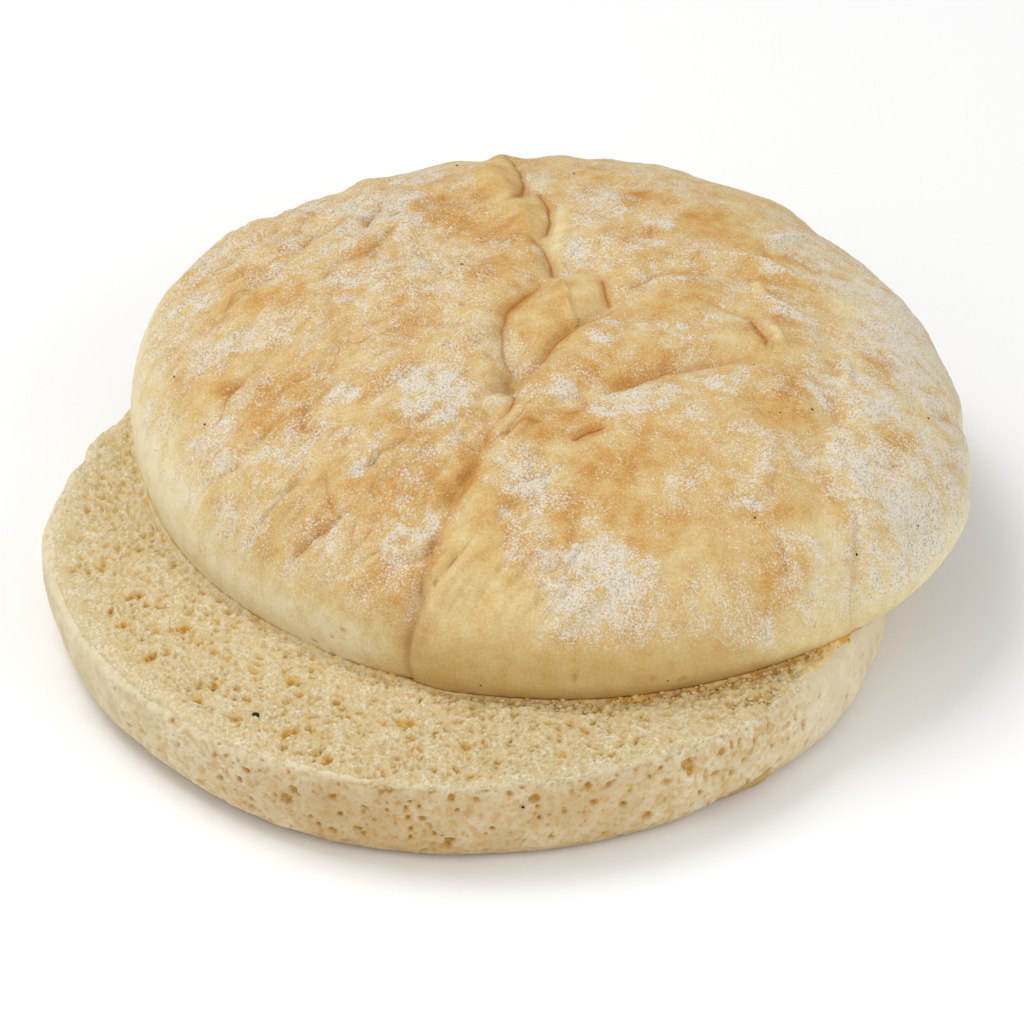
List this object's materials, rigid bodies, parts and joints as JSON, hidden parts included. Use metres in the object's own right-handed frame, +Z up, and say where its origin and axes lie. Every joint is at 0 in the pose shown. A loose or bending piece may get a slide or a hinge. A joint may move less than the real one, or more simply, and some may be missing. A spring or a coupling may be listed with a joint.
{
  "type": "rustic bun",
  "caption": "Round flat floured bread bun, cut across its height, with the domed crown resting cut face down and off centre on the flat base.",
  "frame": {"origin": "middle of the bottom of the whole bun's box, on the surface that the base stands on", "axes": "+Z up from the flat bottom, +Y towards the back, where the crown overhangs the base, +X to the right, where it overhangs too"},
  "size_m": [0.1338, 0.1446, 0.0418],
  "materials": {
    "crust": "matt baked crust, pale gold to tan, dusted with flour",
    "crumb": "matt open bread crumb, cream"
  },
  "bodies": {
    "root": {"bun_base": "crumb", "bun_crown": "crust"}
  },
  "joints": []
}
